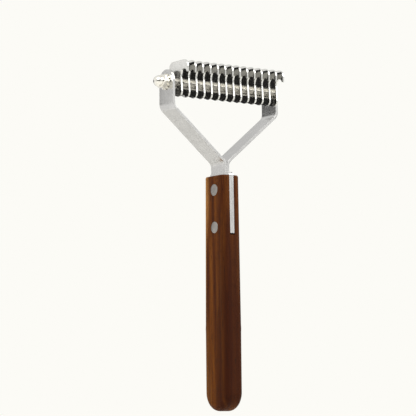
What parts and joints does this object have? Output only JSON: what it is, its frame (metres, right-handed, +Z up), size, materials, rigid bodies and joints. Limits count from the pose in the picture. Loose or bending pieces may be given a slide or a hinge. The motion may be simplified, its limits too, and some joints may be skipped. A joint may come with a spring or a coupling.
{
  "type": "deshedding tool",
  "caption": "Pet deshedding tool: hooked steel blades stacked on an axle between the arms of a bent steel fork, riveted into a slotted, rounded walnut handle.",
  "frame": {"origin": "the middle of the handle's rounded butt end, on the handle's axis", "axes": "+Z up the handle to the head, +X along the axle towards its slotted head, -Y the way the beaks point"},
  "size_m": [0.0811, 0.0236, 0.1904],
  "materials": {
    "walnut": "oiled walnut, straight grain along the handle",
    "strip_steel": "stainless strip, finely polished along its length",
    "blade_steel": "stamped stainless, tumbled bright with polished edges",
    "spacer_steel": "turned stainless tube",
    "rivet_steel": "faced off flush with the wood",
    "axle_steel": "bright stainless screw",
    "nut_plating": "bright polished plating"
  },
  "bodies": {
    "tool": {"handle": "walnut", "left_arm": "strip_steel", "right_arm": "strip_steel", "stop_bar": "strip_steel", "upper_rivet_sleeve": "rivet_steel", "upper_rivet_pin": "rivet_steel", "lower_rivet_sleeve": "rivet_steel", "lower_rivet_pin": "rivet_steel", "axle_bolt": "axle_steel", "blade_01": "blade_steel", "blade_02": "blade_steel", "blade_03": "blade_steel", "blade_04": "blade_steel", "blade_05": "blade_steel", "blade_06": "blade_steel", "blade_07": "blade_steel", "blade_08": "blade_steel", "blade_09": "blade_steel", "blade_10": "blade_steel", "blade_11": "blade_steel", "blade_12": "blade_steel", "blade_13": "blade_steel", "blade_14": "blade_steel", "spacer_01": "spacer_steel", "spacer_02": "spacer_steel", "spacer_03": "spacer_steel", "spacer_04": "spacer_steel", "spacer_05": "spacer_steel", "spacer_06": "spacer_steel", "spacer_07": "spacer_steel", "spacer_08": "spacer_steel", "spacer_09": "spacer_steel", "spacer_10": "spacer_steel", "spacer_11": "spacer_steel", "spacer_12": "spacer_steel", "spacer_13": "spacer_steel", "spacer_14": "spacer_steel"},
    "washer": {"nut_washer": "nut_plating"},
    "nut": {"dome_nut": "nut_plating"}
  },
  "joints": [
    {"name": "nut_travel", "type": "slide", "parent": "tool", "child": "washer", "axis": [-1, 0, 0], "range_m": [0, 0.0049]},
    {"name": "nut_turn", "type": "hinge", "parent": "washer", "child": "nut", "pos_m": [-0.0367, 0.0015, 0.1791], "axis": [-1, 0, 0], "range_deg": [0, 2520.2]}
  ],
  "couplings": [
    {"joint": "nut_turn", "follows": "nut_travel", "rad_per_m": 8976}
  ]
}
